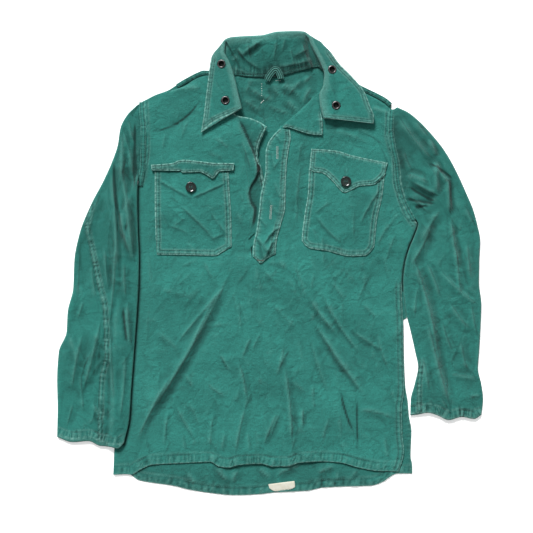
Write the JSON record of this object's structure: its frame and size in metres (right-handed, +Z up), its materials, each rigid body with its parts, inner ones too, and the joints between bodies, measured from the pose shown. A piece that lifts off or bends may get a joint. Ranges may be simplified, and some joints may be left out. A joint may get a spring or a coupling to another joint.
{
  "type": "field shirt",
  "caption": "Long-sleeved cotton pullover shirt laid flat, with a pointed half placket, two flapped chest pockets and metal eyelets in an open collar.",
  "frame": {"origin": "middle of the laid-out shirt's box, on the surface that it lies on", "axes": "+X to the viewer's right across the shirt, +Y from the hem towards the collar, +Z up, out of the shirt's front"},
  "size_m": [0.766, 0.8329, 0.0201],
  "materials": {
    "cloth": "washed cotton twill, teal green",
    "button": "glossy, very dark green",
    "eyelet": "worn dark metal",
    "label_tape": "plain cream tape"
  },
  "bodies": {
    "root": {"back": "cloth", "front": "cloth", "sleeve_left": "cloth", "sleeve_right": "cloth", "collar": "cloth", "shoulder_left": "cloth", "shoulder_right": "cloth", "placket_over": "cloth", "placket_under": "cloth", "lapel": "cloth", "pocket_left": "cloth", "pocket_right": "cloth", "flap_left": "cloth", "flap_right": "cloth", "hanger_loop": "cloth", "label": "label_tape", "button_pocket_left": "button", "button_pocket_right": "button", "button_placket": "button", "eyelet_left_upper": "eyelet", "eyelet_left_lower": "eyelet", "eyelet_right_upper": "eyelet", "eyelet_right_lower": "eyelet"}
  },
  "joints": []
}
